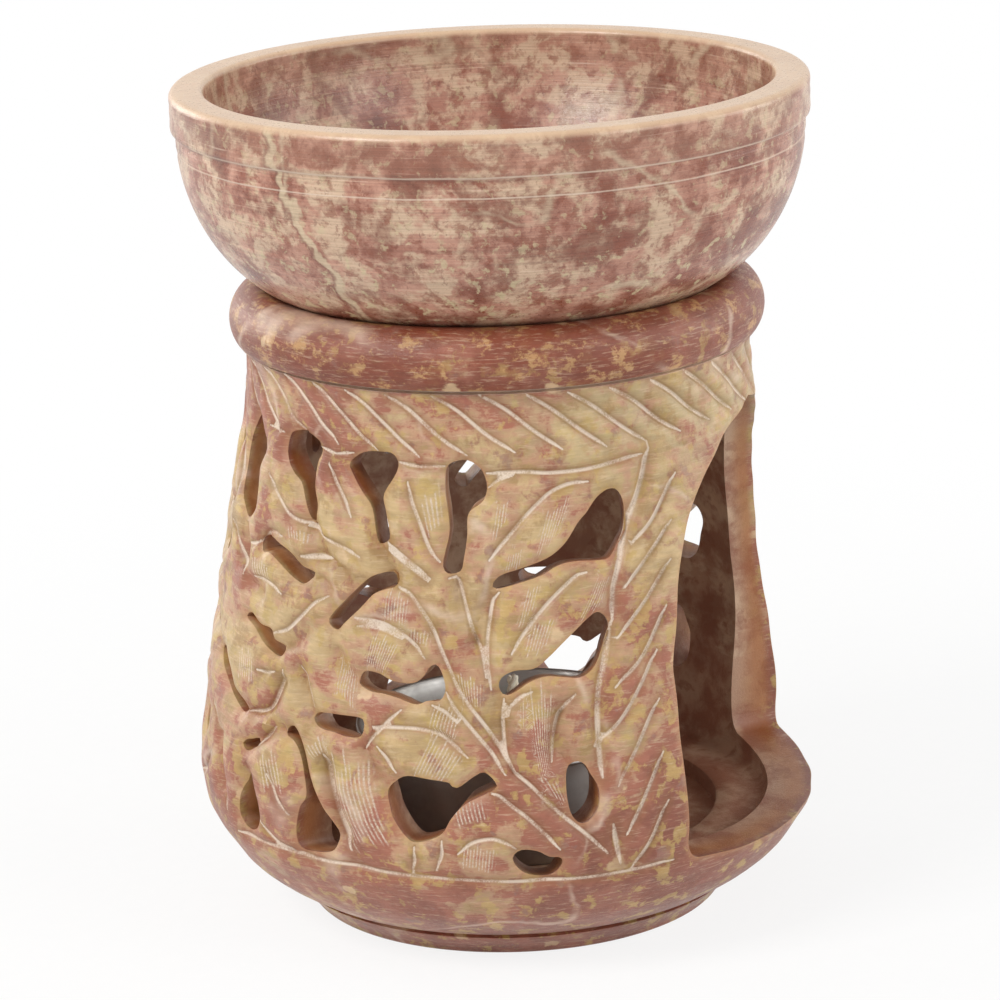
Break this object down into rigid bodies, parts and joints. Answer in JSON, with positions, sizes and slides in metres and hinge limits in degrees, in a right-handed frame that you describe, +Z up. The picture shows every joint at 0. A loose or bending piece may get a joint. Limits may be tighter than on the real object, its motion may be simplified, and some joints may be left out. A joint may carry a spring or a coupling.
{
  "type": "essential oil burner",
  "caption": "Carved soapstone oil burner: a pierced round stand with an arched door for a tealight, and a loose turned bowl that rests in its rolled collar.",
  "frame": {"origin": "middle of the foot, on the surface that the burner stands on", "axes": "+Z up, the door for the tealight faces -Y, +X to the right of someone who looks at the back from the door's side"},
  "size_m": [0.0761, 0.0756, 0.1],
  "materials": {
    "stand_stone": "carved, rubbed and waxed soapstone, ochre with red veins, pale powder in the cuts",
    "bowl_stone": "turned and rubbed soapstone, dusty rose with cream and dark mottling",
    "cup_metal": "thin drawn aluminium",
    "wax": "poured wax with a sunken edge",
    "sustainer_metal": "tinned sheet",
    "wick": "waxed cotton braid"
  },
  "bodies": {
    "stand": {"stand": "stand_stone"},
    "bowl": {"oil_bowl": "bowl_stone"},
    "tealight": {"tealight_cup": "cup_metal", "tealight_wax": "wax", "wick_sustainer": "sustainer_metal", "tealight_wick": "wick"}
  },
  "joints": [
    {"name": "bowl_lift", "type": "slide", "parent": "stand", "child": "bowl", "axis": [0, 0, 1], "range_m": [0, 0.04]},
    {"name": "tealight_slide", "type": "slide", "parent": "stand", "child": "tealight", "axis": [0, -0.8988, 0.4384], "range_m": [0, 0.065]}
  ]
}
